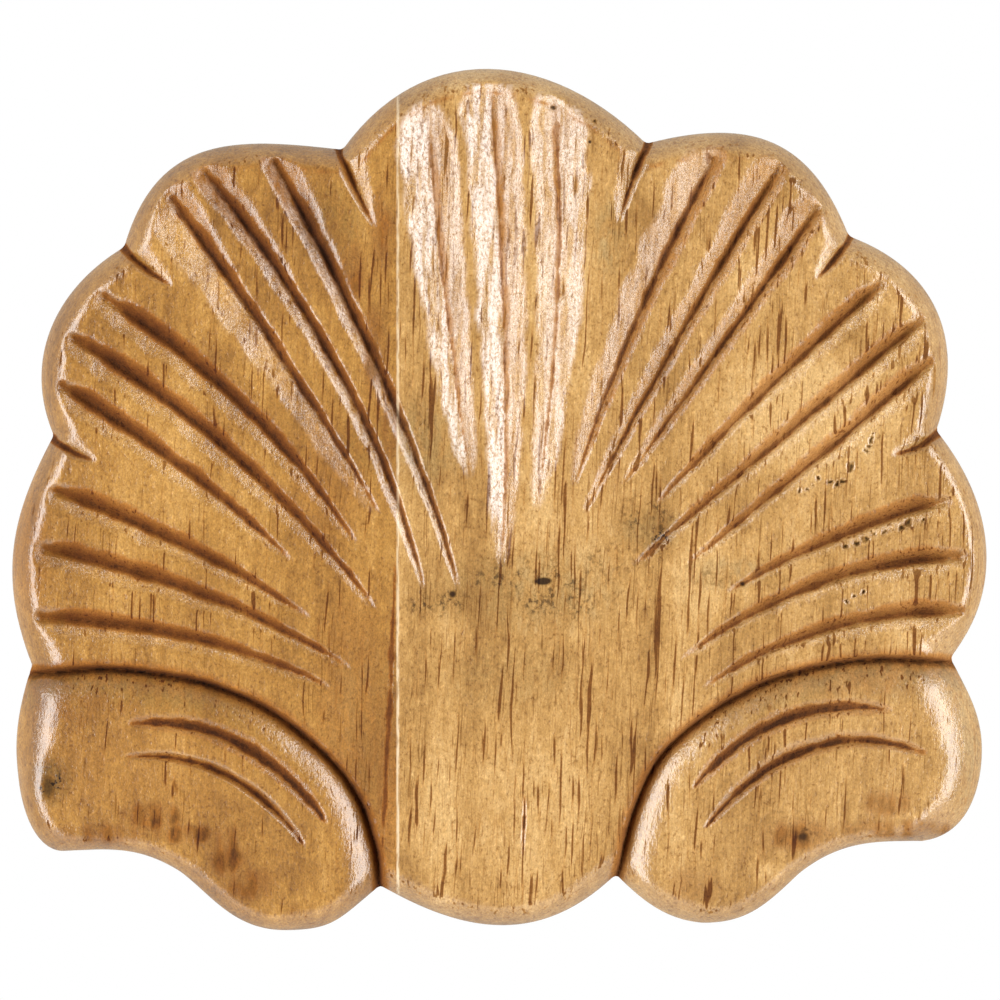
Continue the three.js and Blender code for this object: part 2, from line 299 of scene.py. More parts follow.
# %% Nicks, channels and scroll lines
NICK_DEPTH = 1.6
NICKS = [
    ((-13.6, 29.9), (-12.1, 25.9), (-10.2, 22.2)),
    ((-31.6, 21.6), (-29.5, 18.9), (-26.9, 17.6)),
    ((-37.6, 6.0), (-35.6, 3.8), (-33.2, 3.2)),
    ((12.6, 30.3), (10.9, 26.6), (9.8, 22.6)),
    ((29.5, 22.6), (27.8, 19.8), (26.0, 18.0)),
    ((37.0, 6.3), (34.9, 4.2), (32.3, 3.7)),
]

CHANNELS = {  # core is the width of the dark slot on either side of the line, dark its glaze
    "left": dict(core=0.4, dark=0.88, line=[
        (-39.6, -14.4), (-31.9, -13.9), (-24.5, -15.0), (-18.4, -17.6),
        (-12.6, -22.8), (-10.2, -28.3), (-9.8, -32.8),
    ]),
    "right": dict(core=0.32, dark=0.76, line=[
        (38.6, -13.5), (31.2, -13.1), (24.7, -14.1), (18.5, -16.7),
        (13.3, -21.1), (10.8, -26.3), (9.6, -31.8),
    ]),
}

SCROLL_LINE_DEPTH = 0.8
SCROLL_LINES = [  # three points and the line's width
    (((-30.6, -18.4), (-20.5, -17.6), (-14.2, -26.6)), 1.7),
    (((-30.8, -21.1), (-21.7, -20.3), (-16.0, -28.4)), 0.9),
    (((32.4, -17.3), (22.6, -15.8), (15.9, -23.7)), 1.6),
    (((35.3, -20.9), (25.0, -17.0), (16.9, -27.0)), 1.3),
]
print(len(NICKS), "nicks and", len(SCROLL_LINES), "scroll lines")

# %% [markdown]
# A few marks of the hand and of age belong to this very piece: a scribed line beside the glue line, a
# short drying crack in the foot, a worm's trail of small pits on the right side, grime where hands
# and dusters passed, and brown stains where the finish ran together. Most marks are soft ellipses, so
# a row is a place on the plan, half its width and height, and its strength.

# %% Marks
FINE_MARKS = [  # three points, width, depth and glaze
    (((-8.5, -4.9), (-8.9, -16.4), (-9.7, -29.6)), 0.40, 0.05, 0.72),  # scribed line
    (((2.1, -24.2), (2.05, -27.0), (1.9, -29.6)), 0.24, 0.20, 0.9),  # crack in the foot
]
SPOTS = [  # dark spots
    ((3.6, -6.7), (0.72, 0.30), 1.3), ((-3.8, -7.8), (0.3, 0.3), 1.0), ((19.9, -6.9), (0.22, 0.22), 1.0),
    ((4.4, 32.1), (0.2, 0.2), 1.0), ((7.4, 29.3), (0.14, 0.14), 1.1), ((7.8, 31.0), (0.14, 0.14), 1.0),
    ((13.2, -2.3), (0.2, 0.35), 0.8), ((24.9, -27.6), (0.5, 0.3), 0.8), ((-36.9, -23.6), (0.5, 0.9), 0.7),
]
GRIME = [  # broken grey dirt
    ((-36.8, -23.2), (1.1, 1.4), 0.6), ((25.2, -27.5), (1.0, 0.6), 0.7), ((13.1, -2.6), (0.7, 1.0), 0.7),
    ((2.5, -6.4), (6.0, 1.8), 0.35), ((4.5, -8.5), (4.0, 1.8), 0.35), ((-5.0, -8.4), (3.0, 1.2), 0.4),
    ((9.5, -4.5), (4.5, 1.4), 0.25), ((12.0, -1.6), (2.4, 1.8), 0.35), ((1.0, -13.5), (6.0, 3.0), 0.12),
    ((-7.0, 6.0), (2.0, 2.0), 0.2), ((16.5, -6.5), (3.0, 1.0), 0.2),
]
FILM_AND_SHADE_PATCHES = [  # a smooth grey film, and one patch of painted shade
    ((2.5, -7.5), (7.0, 3.0), 0.26), ((12.5, -2.4), (2.6, 1.6), 0.3), ((-6.0, 4.5), (2.6, 3.5), 0.35),
    ((1.0, -14.5), (5.0, 2.6), 0.14), ((-14.0, 22.5), (2.5, 3.0), 0.35), ((9.0, 21.5), (1.2, 3.0), 0.35),
    ((-36.8, -23.0), (1.6, 1.8), 0.5), ((-11.0, 4.5), (2.0, 2.6), 0.25), ((19.0, -6.0), (3.0, 1.2), 0.3),
    # The last patch darkens the right scroll's outer side, where the lights shine on it: painted shade.
    ((-11.5, -18.5), (2.6, 8.0), 0.3), ((38.2, -20.5), (1.8, 4.5), 0.3),
]
STAINS = [  # brown streaks where the finish ran together
    ((-28.3, -25.9), (2.4, 1.1), 0.85), ((-22.2, -28.9), (1.3, 1.9), 0.9),
    ((-25.6, -27.4), (2.4, 0.8), 0.75), ((-31.8, -27.4), (3.4, 0.9), 0.45),
    ((-20.5, -31.5), (2.0, 1.3), 0.5),
    ((-34.5, -17.0), (4.5, 1.6), 0.25), ((33.0, -27.0), (5.0, 0.8), 0.45), ((24.5, -27.5), (2.6, 1.2), 0.6),
    ((30.0, -15.0), (5.0, 1.2), 0.3), ((-9.5, 22.0), (0.9, 3.2), 0.5), ((31.8, -24.9), (1.8, 1.1), 0.6),
    ((-12.0, 18.0), (0.9, 3.0), 0.5), ((-10.2, 11.5), (0.9, 4.0), 0.5), ((-8.9, 6.0), (0.6, 2.6), 0.45),
    ((9.5, 4.0), (0.5, 3.0), 0.3), ((16.0, -31.5), (2.0, 1.5), 0.25),
]
BROWN = [  # where the wood is made darker and browner all over
    ((-11.8, -17.5), (2.8, 9.5), 0.16), ((-9.2, -24.0), (0.9, 7.0), 0.2), ((-14.0, 1.0), (3.0, 5.0), 0.1),
    ((-29.0, -22.0), (9.0, 5.0), 0.06), ((-38.6, -4.0), (1.8, 5.5), 0.14),
]
PALE = [  # where it is paler
    ((25.5, 7.0), (7.0, 4.5), 0.45), ((18.0, -6.5), (4.0, 3.0), 0.25), ((0.0, 17.0), (7.0, 12.0), 0.1),
    ((21.9, -30.6), (1.2, 0.9), 0.3), ((-27.0, 3.0), (7.0, 7.5), 0.24), ((0.5, -26.0), (7.5, 6.0), 0.24),
    ((0.0, 34.4), (10.0, 1.4), 0.2),
    # These three brighten the outer wall of the left upper lobe's first flute, which faces away from the
    # lights: painted light.
    ((-26.3, 20.5), (2.2, 2.6), 0.28), ((-22.6, 15.7), (2.2, 2.6), 0.34), ((-18.8, 11.0), (2.2, 2.6), 0.28),
]
PITS = [  # place and radius
    ((30.6, 5.4), 0.10), ((30.5, 4.9), 0.15), ((30.3, 4.4), 0.12), ((30.1, 3.9), 0.12), ((28.8, 2.6), 0.22),
    ((28.2, 1.5), 0.12), ((27.6, 1.2), 0.15), ((27.1, 1.4), 0.12), ((26.1, 1.7), 0.10), ((25.7, 1.2), 0.12),
    ((25.2, 0.9), 0.12), ((24.6, 0.7), 0.13), ((34.7, -1.7), 0.14), ((33.5, -1.9), 0.18),
    ((32.9, -2.3), 0.12), ((32.3, -2.5), 0.16), ((31.5, -2.8), 0.15), ((30.6, -2.8), 0.13),
    ((30.0, -3.3), 0.14), ((29.3, -3.6), 0.15), ((28.4, -3.9), 0.12), ((28.4, -8.3), 0.12),
    ((29.1, -7.9), 0.10), ((29.8, -7.6), 0.10),
]
PIT_DEPTH = 0.3
print(len(SPOTS), "dark spots,", len(STAINS), "stains and", len(PITS), "pits")

# %% [markdown]
# ## Measuring from a line
#
# Everything that follows asks one question of many points at once: how far is it to this line, on
# which side, and how far along? Numpy answers it for a whole board in a moment, one short piece of
# the line at a time.

# %% Distance to a line
LINE_STEPS = 24


def from_line(points, line):
    """Distance to a line of points, how far sideways that is (1 straight to the left of the line's
    direction, -1 straight to the right), and the share of the line behind the nearest place."""
    best = np.full(len(points), np.inf)
    sideways = np.zeros(len(points))
    share = np.zeros(len(points))
    lengths = np.linalg.norm(np.diff(line, axis=0), axis=1)
    passed = np.concatenate([[0], np.cumsum(lengths)]) / lengths.sum()
    passed[-1] = 1
    for i, (a, b) in enumerate(zip(line[:-1], line[1:])):
        along = (b - a) / lengths[i]
        away = points - a
        run = np.clip(away @ along, 0, lengths[i])
        rest = away - run[:, None] * along
        distance = np.hypot(rest[:, 0], rest[:, 1])
        nearer = distance < best
        left = (along[0] * away[:, 1] - along[1] * away[:, 0]) / np.maximum(distance, 1e-9)
        best = np.where(nearer, distance, best)
        sideways = np.where(nearer, left, sideways)
        share = np.where(nearer, passed[i] + run / lengths[i] * (passed[i + 1] - passed[i]), share)
    return best, np.clip(sideways, -1, 1), share


def bent_line(points):
    curve = placed(points)
    return np.vstack([bezier(list(curve), LINE_STEPS), curve[-1]])


def smooth_line(points):
    """A line through all the points, by Catmull-Rom curves between them."""
    p = placed(points)
    p = np.vstack([2 * p[0] - p[1], p, 2 * p[-1] - p[-2]])
    stretches = [
        bezier([b, b + (c - a) / 6, c - (d - b) / 6, c], LINE_STEPS // 4)
        for a, b, c, d in zip(p, p[1:], p[2:], p[3:])
    ]
    return np.vstack([*stretches, p[-2]])


def shifted(line, distance):
    """The line, moved sideways to the left of its direction."""
    along = np.gradient(line, axis=0)
    along /= np.linalg.norm(along, axis=1)[:, None]
    return line + distance * np.stack([-along[:, 1], along[:, 0]], axis=1)


def near(points, line, reach):
    """Which of the points lie in the line's box, widened by reach."""
    low, high = line.min(0) - reach, line.max(0) + reach
    return ((points > low) & (points < high)).all(1)


middle = np.zeros((1, 2))
print(f"the outline comes as near to the middle as {from_line(middle, outline)[0][0]:.1f} mm")

# %% [markdown]
# ## The cuts
#
# A cut takes a V-shaped chip. It is deepest near the rim and rises towards its tip, and it grows narrower
# as it rises, because the tool's walls keep their slope. Three numbers are wanted at each point: how much
# wood is gone, how much glaze has stayed, and how much pale tint is painted on the walls as a sheen for the
# lights' shine. Each kind of cut is a small dictionary, so one function carves them all. Its `bite` says
# how deep the cut is along its way.

# %% List the cuts
FLUTE_TAPER = 0.62  # the lower this is, the longer a cut keeps its depth before it runs out
NICK_TAPER = 0.8
LINE_TAPER = 0.6


def smooth(share):
    """From 0 to 1 with soft ends."""
    share = np.clip(share, 0, 1)
    return share * share * (3 - 2 * share)


def falling(distance, reach):
    """1 at distance 0, and evenly down to 0 at the reach."""
    return np.clip(1 - distance / reach, 0, 1)


def length_of(line):
    return np.linalg.norm(np.diff(line, axis=0), axis=1).sum()


def flute_bite(share, cut):
    entry = cut["wide"] + (1 - cut["wide"]) * smooth(share * length_of(cut["line"]) / cut["entry"])
    return entry * (1 - share) ** FLUTE_TAPER


def nick_bite(share, cut):
    return (1 - share) ** NICK_TAPER


def line_bite(share, cut):
    return np.abs(np.sin(math.pi * share)) ** LINE_TAPER


def cut_along(points, **own):
    """A plain cut along a line, changed by its own settings."""
    side = 1 if points[0][0] < 0 else -1
    return {**PLAIN_CUT, "line": bent_line(points), "side": side, **own}


def flutes():
    for name, lobe in FLUTES.items():
        own = {**lobe, "side": 1 if name.startswith("left") else -1}
        for points in own.pop("lines"):
            cut = cut_along(points, depth=FLUTE_DEPTH, bite=flute_bite, **own)
            yield {**cut, "line": shifted(cut["line"], -cut["side"] * cut["shift"])}


def nicks():
    for points in NICKS:
        yield cut_along(points, inner=2.0, outer=0.9, steep=(0.35, 0.5), depth=NICK_DEPTH,
                        bite=nick_bite, band=0.6, spill=0.4, band_on=-1, edge=0.45, dark=0.8,
                        core=0.36, deep=0.88, wash=(0, 0.1), over_rim=True)


def scroll_lines():
    for points, width in SCROLL_LINES:
        yield cut_along(points, inner=0.62 * width, outer=0.5 * width, steep=(0.3, 0.4),
                        depth=SCROLL_LINE_DEPTH * min(1, width), bite=line_bite, band=0.46 * width,
                        spill=0.32 * width, edge=0.5, dark=0.92, core=0.19 * width, deep=1.0,
                        wash=(0.2, 0.2))


def fine_marks():
    for points, width, depth, deep in FINE_MARKS:
        yield cut_along(points, side=1, inner=width / 2, outer=width / 2, steep=(0, 0), depth=depth,
                        bite=line_bite, band=0.7 * width, spill=0.5 * width, edge=0.2, dark=0.3,
                        core=0.5 * width, deep=deep)


cuts = [*flutes(), *nicks(), *scroll_lines(), *fine_marks()]
channels = {name: smooth_line(channel["line"]) for name, channel in CHANNELS.items()}
print(len(cuts), "cuts and", len(channels), "channels")

# %% [markdown]
# A cut's bottom is narrower than a voxel, so the skin is made finer there and round each small mark.
# Only the faces that need it are subdivided, and the grid fill keeps them square.

# %% A finer skin along the cuts
FINE_REACH = 0.42
SPOT_REACH = 0.8


def near_a_cut(points):
    fine = np.zeros(len(points), bool)
    for line in [cut["line"] for cut in cuts] + list(channels.values()):
        some = np.flatnonzero(near(points, line, FINE_REACH))
        distance, _, _ = from_line(points[some], line)
        fine[some] |= distance < FINE_REACH
    for place, *_ in SPOTS + PITS:
        fine |= np.hypot(*(points - place).T) < SPOT_REACH
    return fine


def plan_of(bm):
    return np.array([(v.co.x, v.co.z) for v in bm.verts])


def refine(bm):
    for v, fine in zip(bm.verts, near_a_cut(plan_of(bm))):
        v.tag = bool(fine)
    edges = {e for f in bm.faces if any(v.tag for v in f.verts) for e in f.edges}
    bmesh.ops.subdivide_edges(bm, edges=list(edges), cuts=1, use_grid_fill=True)


refine(blank)
print(len(blank.faces), "faces once the skin is finer along the cuts")

# %% [markdown]
# ## Heights
#
# The uncut face is slightly crowned. Round the outline it falls to the upright wall by a sloping rim.
# A crisp rim, as on the lobes, meets the face with a clear edge. A soft one, as on the outer ends of
# the scrolls, curves into it.

# %% The face and its rim
RIM_BLEND = 8  # outline points over which one rim changes to the next
PLAIN_RIM = 2.0  # width of a rim that falls by RIM_DROP, as narrow rims fall less
RIM_REACH = 5.0  # more than the widest rim


def rim_at_outline():
    """Width and softness of the rim at each point of the outline, with gradual changes."""
    values = np.array([row[3:] for row in OUTLINE]).repeat(STEPS_A_CURVE, axis=0)
    window = np.hanning(2 * RIM_BLEND + 1)
    window /= window.sum()
    wrapped = np.concatenate([values[-RIM_BLEND:], values, values[:RIM_BLEND]])
    return np.stack([np.convolve(wrapped[:, i], window, "valid") for i in range(2)], axis=1)


def to_outline(points):
    """Distance to the outline, and the place on it as a number of outline points."""
    ring = np.vstack([outline, outline[:1]])
    distance = np.full(len(points), np.inf)
    place = np.zeros(len(points))
    for i, (a, b) in enumerate(zip(ring[:-1], ring[1:])):
        some = np.flatnonzero(near(points, ring[i:i + 2], RIM_REACH))
        step = b - a
        away = points[some] - a
        run = np.clip(away @ step / (step @ step), 0, 1)
        rest = np.linalg.norm(away - run[:, None] * step, axis=1)
        nearer = rest < distance[some]
        distance[some[nearer]] = rest[nearer]
        place[some[nearer]] = i + run[nearer]
    return distance, place


def crown(points):
    return THICKNESS - CROWN_DROP * (points**2).sum(1) / CROWN_REACH**2


def rim_drop(points):
    """How far the rim lies below the face, the distance to the outline, and the rim's width."""
    distance, place = to_outline(points)
    rims = rim_at_outline()
    index = place.astype(int) % len(rims)
    width, soft = rims[index].T
    left = falling(distance, width)
    crisp = 0.2 * left + 0.8 * left**2
    drop = RIM_DROP * np.clip(width / PLAIN_RIM, 0.55, 1.1)
    return drop * ((1 - soft) * crisp + soft * left**2.3), distance, width


rim_widths = rim_at_outline()[:, 0]
print(f"the rim is {rim_widths.min():.1f} to {rim_widths.max():.1f} mm wide")

# %% [markdown]
# Beside a channel the scroll is rounded like a cushion, while the shell stands with a short steep side.
# Glaze lies close along both and darkest in the slot between them. On the scroll a broad brown and a grey
# painted shade reach further, only along the channel's outer part, where the cushion faces up.

# %% Beside the channels
SCROLL_ROUND = 3.4  # width of the rounding of a scroll beside its channel
SCROLL_FALL = 1.4  # how far it falls there
SHELL_ROUND = 0.4  # width of the steep side of the shell
SLOT = 0.4  # depth of the dark slot between them
BROAD_SHADE_REACH = 2.4  # how far the broad painted shade reaches
GREY_SHADE_REACH = 3.8  # and the grey painted shade
CLOSE_REACH = (0.9, 1.0)  # the close glaze, on the scroll and on the shell


def beside_channel(points, name, line, fray):
    """How far the ground falls beside one channel, the glaze that stays there, and the painted shade on the
    scroll's cushion, as glaze and grey film.
    """
    shell_side = 1 if name == "left" else -1
    core = CHANNELS[name]["core"]
    distance, sideways, share = from_line(points, line)
    scroll = sideways * shell_side < 0
    left = falling(distance, np.where(scroll, SCROLL_ROUND, SHELL_ROUND))
    fall = SCROLL_FALL * np.where(scroll, left**2, left**1.2)
    fall += SLOT * falling(distance, core)

    # Painted shade: brown and grey on the scroll's cushion where it faces up, along the channel's outer
    # part.
    upper = 1 - 0.85 * smooth((share - 0.3) / 0.35)
    broad_shade = np.where(scroll, 0.3 * upper * falling(distance, BROAD_SHADE_REACH) ** 1.3, 0)
    close = 0.68 * falling(distance + fray, np.where(scroll, *CLOSE_REACH))
    dark = np.clip(1.3 - (distance + fray) / core, 0, 1) * CHANNELS[name]["dark"]
    dark *= 0.5 + 0.5 * smooth(share / 0.2)
    grey = np.where(scroll, 0.6 * upper * falling(distance, GREY_SHADE_REACH) ** 0.8, 0)
    inside = (share > 0) & (share < 1)
    return fall, np.maximum.reduce([broad_shade, close, dark]) * inside, grey * inside


def beside_channels(points, fray):
    """The same of both channels, whichever is more."""
    return np.max([beside_channel(points, name, line, fray) for name, line in channels.items()], axis=0)


channel_depth = beside_channels(channels["left"], fray=0)[0].max()
print(f"a channel is {channel_depth:.1f} mm deep")

# %% [markdown]
# One function carves with any cut. The first half works out the two walls: an easy slope, a steep
# bottom and perhaps a step. The second half lays the glaze: a film that thickens downwards on one
# wall, a thin wash, and the dark line at the bottom.

# %% Carve with the cuts
BOTTOM = 0.06  # radius that the gouge leaves at the bottom
STEEP_WIDTH = 0.42  # half width of the steep bottom part
BROW = 0.45  # share of the wall's width that a step takes
FLARE_END = 0.35  # share of a cut's length at which its flare ends
DIM_END = 0.45  # the same for the dim wash
ENTRY_END = 0.12  # and for the softer glaze near the rim


def carve(points, cut, press, fray):
    """Depth, glaze and painted sheen of one cut. The hand presses unevenly, and the glaze frays."""
    distance, sideways, share = from_line(points, cut["line"])
    on_inner = 0.5 + 0.5 * sideways * cut["side"]

    def of_wall(pair):
        return pair[1] + (pair[0] - pair[1]) * on_inner

    bite = np.maximum(cut["bite"](share, cut) * press, 1e-3)
    flare = 1 + cut["flare"] * (1 - smooth(share / FLARE_END)) * on_inner
    wall = of_wall((cut["inner"], cut["outer"])) * bite**0.7 * flare
    steep = of_wall(cut["steep"])
    step = of_wall(cut["step"])
    away = np.hypot(distance, BOTTOM) - BOTTOM
    slope = falling(away, wall) ** 1.12
    slot = falling(away, np.minimum(STEEP_WIDTH, wall)) ** 1.2
    brow = smooth((1 - away / wall) / BROW)
    depth = cut["depth"] * bite * ((1 - steep - step) * slope + steep * slot + step * brow)

    entering = 1 - smooth(share / ENTRY_END)
    frayed = distance + fray * (1 + 1.5 * entering)
    on_band = on_inner if cut["band_on"] > 0 else 1 - on_inner
    band = cut["spill"] + (cut["band"] - cut["spill"]) * on_band
    band = band * np.clip(bite, 0.2, 1) ** 0.7
    up = falling(frayed, band)
    softness = 0.6 - 0.34 * on_band + 0.5 * entering
    film = (cut["edge"] + (cut["dark"] - cut["edge"]) * up) * smooth(up * band / softness)
    film *= 1 - 0.35 * entering
    core = cut["core"] * np.clip(bite, 0.4, 1) * press**2
    bottom = smooth(1.35 - frayed / core) * cut["deep"] * (1 - 0.6 * entering)
    on_wall = smooth((1.12 - distance / wall) / 0.3)
    fade = smooth(bite / 0.3)
    wash = of_wall(cut["wash"]) + of_wall((0, cut["dim"])) * (1 - smooth(share / DIM_END))
    glaze = np.maximum.reduce([film, wash * on_wall, bottom]) * fade
    # The third value is the painted sheen, a pale tint on the walls that stands in for the lights' shine.
    return depth, glaze, of_wall(cut["pale"]) * on_wall * fade


def carve_all(points, press, fray, on_face):
    depth, glaze, pale = np.zeros((3, len(points)))
    for cut in cuts:
        widest = max(cut["inner"] * (1 + cut["flare"]), cut["outer"])
        reach = 0.2 + 1.3 * widest  # with room for a hard press
        some = np.flatnonzero(near(points, cut["line"], reach))
        gone, stayed, worn = carve(points[some], cut, press[some], fray[some])
        depth[some] = np.maximum(depth[some], gone)
        if "over_rim" not in cut:
            stayed *= on_face[some]
        glaze[some] = np.maximum(glaze[some], stayed)
        pale[some] = np.maximum(pale[some], worn * on_face[some])
    return depth, glaze, pale


flute_depth = carve(cuts[0]["line"], cuts[0], press=1, fray=0)[0].max()
print(f"the first flute is {flute_depth:.1f} mm deep")

# %% Pits and patches
def pits(points, fray):
    """1 in the worm's pits, 0 elsewhere."""
    hole = np.zeros(len(points))
    for place, radius in PITS:
        hole = np.maximum(hole, np.clip(1.6 - (np.hypot(*(points - place).T) + fray) / radius, 0, 1))
    return hole


def patches(points, marks):
    """How much of the listed marks lies at each point. Their borders are soft."""
    amount = np.zeros(len(points))
    for place, size, strength in marks:
        reach = np.hypot(*((points - place) / size).T)
        amount = np.maximum(amount, strength * smooth(1.5 - reach))
    return amount


# %% [markdown]
# ## Give the skin its heights
#
# The skin's points keep their place in the plan and only change height. A little noise stands for
# the unsteady hand: the line of each cut wanders, the pressure on the tool varies, the ground is never
# quite even and the walls are torn.
#
# Blender's noise vectors start from the clock unless they are given a seed, so they are given one, and
# the ornament comes out the same each time.

# %% An unsteady hand
WANDER = 0.08  # how far a cut strays from its drawn line
PRESS = 0.27  # by what share the pressure varies
FRAY = 0.10  # how ragged the glaze ends
FRAY_NOISES = [(2.4, 47.0, 1), (0.9, 43.0, 1), (0.45, 41.0, 0.6)]  # size, seed and share
UNEVEN = 0.05  # how uneven the ground is
TORN = 0.03  # how rough the walls of the cuts are
RAGGED = 0.25  # how ragged the pits are
SEED = 7

noise.seed_set(SEED)


def wandering(points, size, seed):
    """Two random values for each point, which change smoothly over about size millimetres."""
    return np.array([noise.noise_vector(Vector((x / size, seed, z / size)))[:2] for x, z in points])


def fraying(points):
    """How far the edge of the glaze strays, by noises of three sizes."""
    return FRAY * sum(share * wandering(points, size, seed)[:, 0] for size, seed, share in FRAY_NOISES)


# %% [markdown]
# What the material must know is stored as attributes of the points: `glaze`, `grime` and `film` for dirt,
# which also carry painted shade beside the channels and on the right scroll's outer side and a greying of
# the top edges, `spot` for the darkest spots, `pale` for a painted sheen on the walls of the cuts, `fair`
# for paler wood and for a painted brightening of one flute's outer wall, `rim` for the sloping border, and
# `torn` for the rough walls of the cuts.

# %% Apply the heights
ARRIS = 0.3  # width of the broken line of glaze where the rim meets the face
CLEAN_RIM = 0.6  # share of the rim, from its outer edge, that the glaze of the flutes spares
TORN_FROM = 0.3  # a wall this deep is fully torn
SOFTENING = 0.35


def rim_greyer_above(points, distance, width, fray):
    """How much of a point is rim, and the broken glaze at its inner edge and the darkening and greying of
    the rim, which grow towards the top of the outline.
    """
    rim = smooth(1.6 * (1 - distance / width))
    upward = np.clip(points[:, 1] / np.maximum(np.hypot(*points.T), 1), 0, 1)
    blotch = 0.5 + wandering(points, 1.1, 71.0)[:, 0]
    arris = falling(np.abs(distance - width + fray), ARRIS) * smooth(blotch) * upward**2
    upper = rim * upward**1.5
    return rim, 0.4 * arris, 0.05 * upper, 0.1 * upper * np.clip(0.4 + blotch, 0, 1)


def shape(bm):
    """Move the points of the skin to their heights, and say what the material must know."""
    points = plan_of(bm)
    below = SLAB + np.array([v.co.y for v in bm.verts])
    far, near_by = wandering(points, 4.0, 7.0), wandering(points, 1.3, 17.0)
    strayed = points + WANDER * (far + 0.35 * near_by)
    press = 1 + PRESS * wandering(points, 2.2, 23.0)[:, 0]
    fray = fraying(points)
    ragged = RAGGED * wandering(points, 0.35, 61.0)
    uneven = UNEVEN * wandering(points, 3.1, 31.0)[:, 0]
    torn = TORN * wandering(points, 0.55, 57.0)[:, 0]
    slope, distance, width = rim_drop(points)
    depth, glaze, pale = carve_all(strayed, press, fray, distance > CLEAN_RIM * width)
    hole = pits(points + ragged, fray)
    depth += PIT_DEPTH * hole
    ground, channel_glaze_and_shade, channel_grey_shade = beside_channels(strayed, fray)
    face = crown(points) - ground + uneven
    cut = smooth(depth / TORN_FROM)
    height = np.minimum(face - depth - torn * cut, crown(points) - slope)
    height = np.minimum(height, face - 0.6 * slope)  # a rim shows even where the ground is low already
    for v, h, t in zip(bm.verts, height, below):
        v.co.y = -(h - t)

    rim, rim_glaze, rim_top_dark, rim_top_grey = rim_greyer_above(points, distance, width, fray)
    streaky = 0.5 + wandering(points * (1, 0.35), 0.8, 83.0)[:, 0]
    stains = patches(points, STAINS) * np.clip(0.3 + 1.2 * streaky, 0.3, 1.3)
    brown = patches(points, BROWN)
    # Besides dirt, glaze and film carry the painted shade beside the channels, and film the greying of the
    # top edges.
    return {
        "glaze": np.maximum.reduce([glaze, channel_glaze_and_shade, 0.55 * stains, rim_glaze, brown]),
        "grime": patches(points, GRIME) + rim_top_dark,
        "film": np.maximum.reduce([patches(points, FILM_AND_SHADE_PATCHES), channel_grey_shade, rim_top_grey, 0.7 * stains]),
        "pale": pale,
        "fair": patches(points, PALE),
        "spot": np.maximum(patches(points + 0.1 * near_by, SPOTS), 0.85 * hole),
        "rim": rim,
        "torn": cut * (1 - rim),
    }


def store(bm, values):
    for name, numbers in values.items():
        layer = bm.verts.layers.float.new(name)
        for v, number in zip(bm.verts, numbers):
            v[layer] = number


store(blank, shape(blank))
front_verts = [v for v in blank.verts if not v.is_boundary]
bmesh.ops.smooth_vert(blank, verts=front_verts, factor=SOFTENING, use_axis_y=True)
print("height of the face:", round(-min(v.co.y for v in blank.verts), 2), "mm")

# %% [markdown]
# ## Wall and back
#
# The sawn wall runs straight back from the rim, and the back is flat so that it can be glued to
# furniture. The open edge of the skin is extruded backwards in a few steps. The last step turns in a
# little, as the edge was broken with sandpaper, and one face closes the back.
#
# Extruded points take their attributes with them. On the wall that is right, as the glaze of a notch
# runs down it. The back is bare wood, so the last points are set to nothing. Otherwise the large face
# would spread the glaze of the notches all over the back.

# %% Extrude the wall and close the back
WALL_STEPS = (7.5, 4.0, 0.35)
BROKEN_EDGE = 0.15


def open_edges(bm):
    return [e for e in bm.edges if e.is_boundary]


def extrude_to(bm, height):
    made = bmesh.ops.extrude_edge_only(bm, edges=open_edges(bm))
    verts = [g for g in made["geom"] if isinstance(g, bmesh.types.BMVert)]
    for v in verts:
        v.co.y = -height
    return verts


def wall_and_back(bm):
    for height in WALL_STEPS:
        extrude_to(bm, height)
    last = extrude_to(bm, 0)
    bm.normal_update()
    for v in last:
        v.co -= Vector((v.normal.x, 0, v.normal.z)).normalized() * BROKEN_EDGE
        for layer in bm.verts.layers.float.values():
            v[layer] = 0
    bmesh.ops.edgeloop_fill(bm, edges=open_edges(bm))
    for f in bm.faces:
        f.smooth = True
    bmesh.ops.recalc_face_normals(bm, faces=bm.faces[:])


wall_and_back(blank)
print(len(blank.faces), "faces,", len(open_edges(blank)), "open edges")

# %% [markdown]
# ## Part it at the glue line
#
# The ornament is one carving but two boards. A bisect at the glue line keeps one side of a copy and
# throws the other away, so both boards keep exactly the same edge there and the seam stays closed.

# %% Two boards
SHARP = math.radians(60)
MANY_CORNERS = 8  # the back and the glued face are single flat faces with far more corners than this


def board(name, side):
    bm = blank.copy()
    cut = sawn(bm, (GLUE_LINE, 0, 0), (-side, 0, 0), dist=1e-5)
    rim = [g for g in cut["geom_cut"] if isinstance(g, bmesh.types.BMEdge) and g.is_boundary]
    bmesh.ops.edgeloop_fill(bm, edges=rim)
    bmesh.ops.scale(bm, verts=bm.verts[:], vec=(MM, MM, MM))
    bmesh.ops.recalc_face_normals(bm, faces=bm.faces[:])
    mesh = mesh_of(bm, name)
    mesh.set_sharp_from_angle(angle=SHARP)
    for face in mesh.polygons:
        face.use_smooth = len(face.vertices) < MANY_CORNERS
    mesh.calc_loop_triangles()
    print(name, len(mesh.loop_triangles), "triangles")
    return in_scene(name, mesh)


left_carving = board("left_carving", -1)
right_carving = board("right_carving", 1)
blank.free()

# %% [markdown]
# ## Nodes by hand
#
# A procedural material is a small network of nodes. Short helpers keep its code close to how it reads
# in the shader editor. `add` makes a node with its settings and inputs, `calc` does one sum, and the
# others are made of these two.

